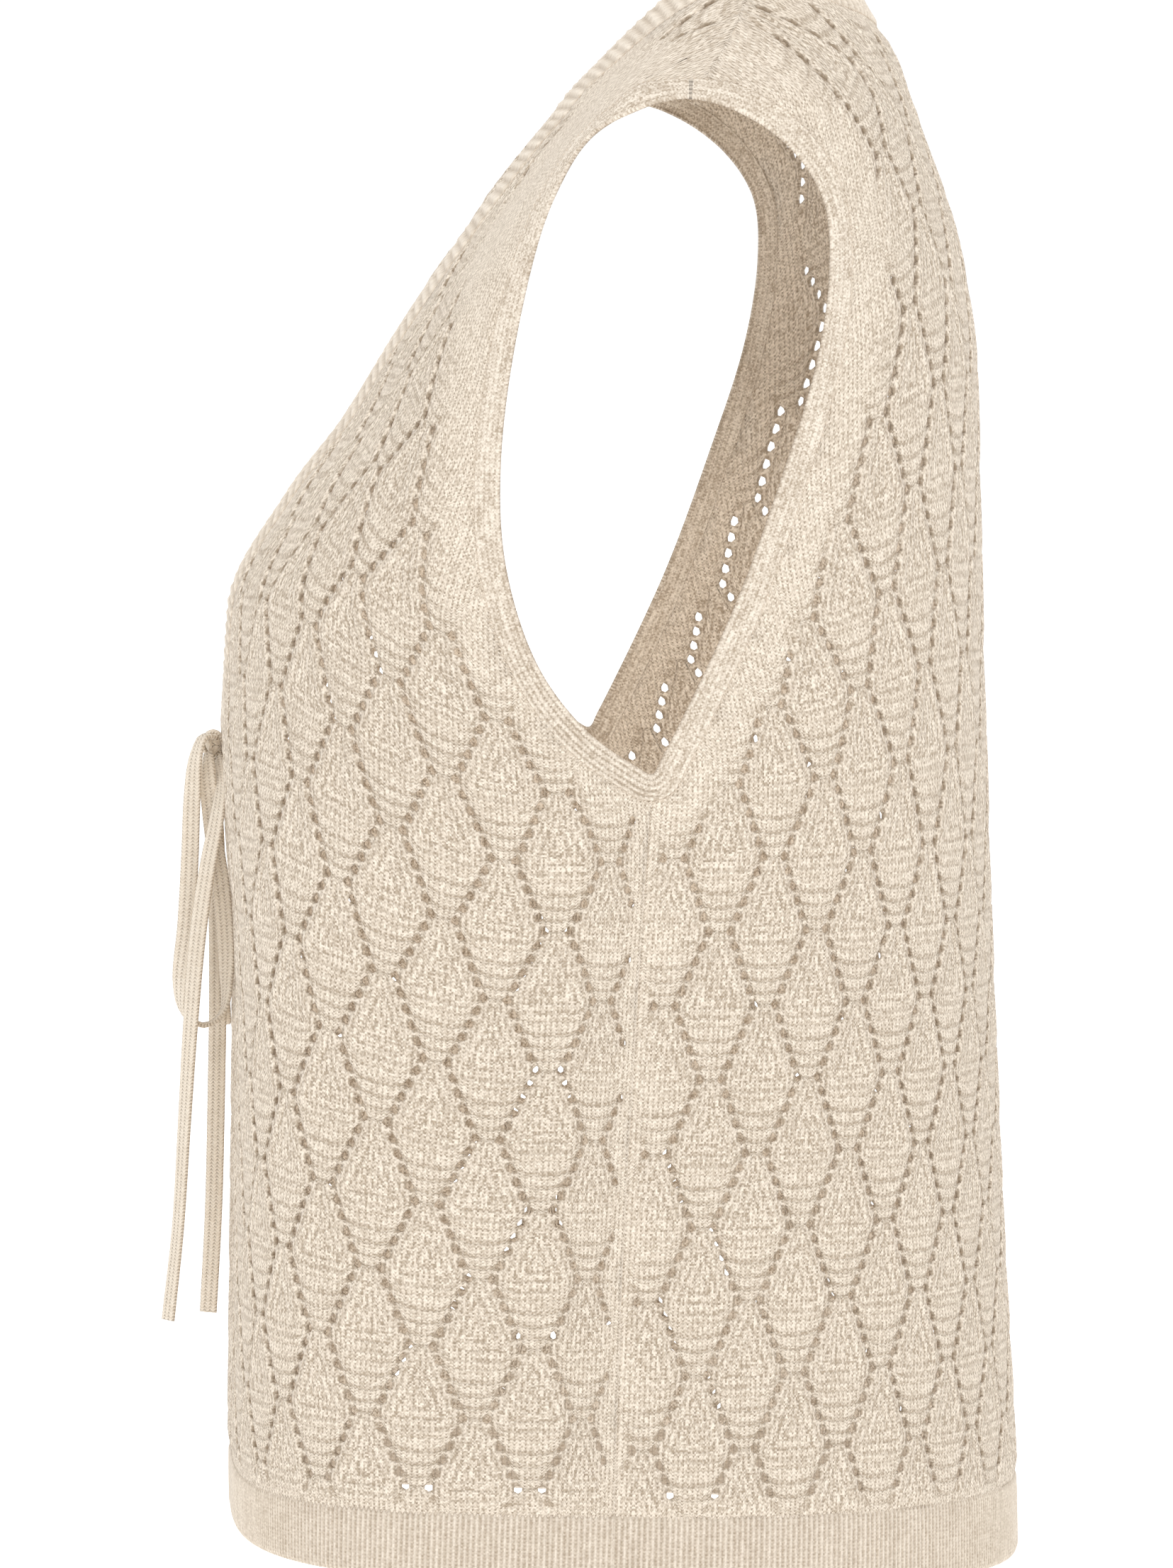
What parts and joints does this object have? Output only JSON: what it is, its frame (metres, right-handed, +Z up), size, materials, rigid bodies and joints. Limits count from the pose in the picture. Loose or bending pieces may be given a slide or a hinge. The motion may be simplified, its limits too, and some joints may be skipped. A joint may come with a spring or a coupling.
{
  "type": "sweater vest, worn form with no wearer",
  "caption": "Sleeveless V-neck sweater vest in diamond lace knit with ribbed neck, armhole and hem bands and a narrow tie bow at the V, in its filled-out worn shape.",
  "frame": {"origin": "between the shoulders, at the height where the vest rests on the wearer, in the plane of symmetry", "axes": "+Z up, front towards -Y, the wearer's left towards +X"},
  "size_m": [0.3252, 0.2903, 0.541],
  "materials": {
    "lace_knit": "matte fine-gauge knit with eyelets",
    "rib_knit": "matte fine rib",
    "tie_tape": "matte flat knitted tape"
  },
  "bodies": {
    "root": {"front_panel": "lace_knit", "back_panel": "lace_knit", "hem_band_front": "rib_knit", "hem_band_back": "rib_knit", "neckband": "rib_knit", "armhole_band_left": "rib_knit", "armhole_band_right": "rib_knit", "tie_knot": "tie_tape", "tie_loop_left": "tie_tape", "tie_loop_right": "tie_tape", "tie_tail_left": "tie_tape", "tie_tail_right": "tie_tape"}
  },
  "joints": []
}
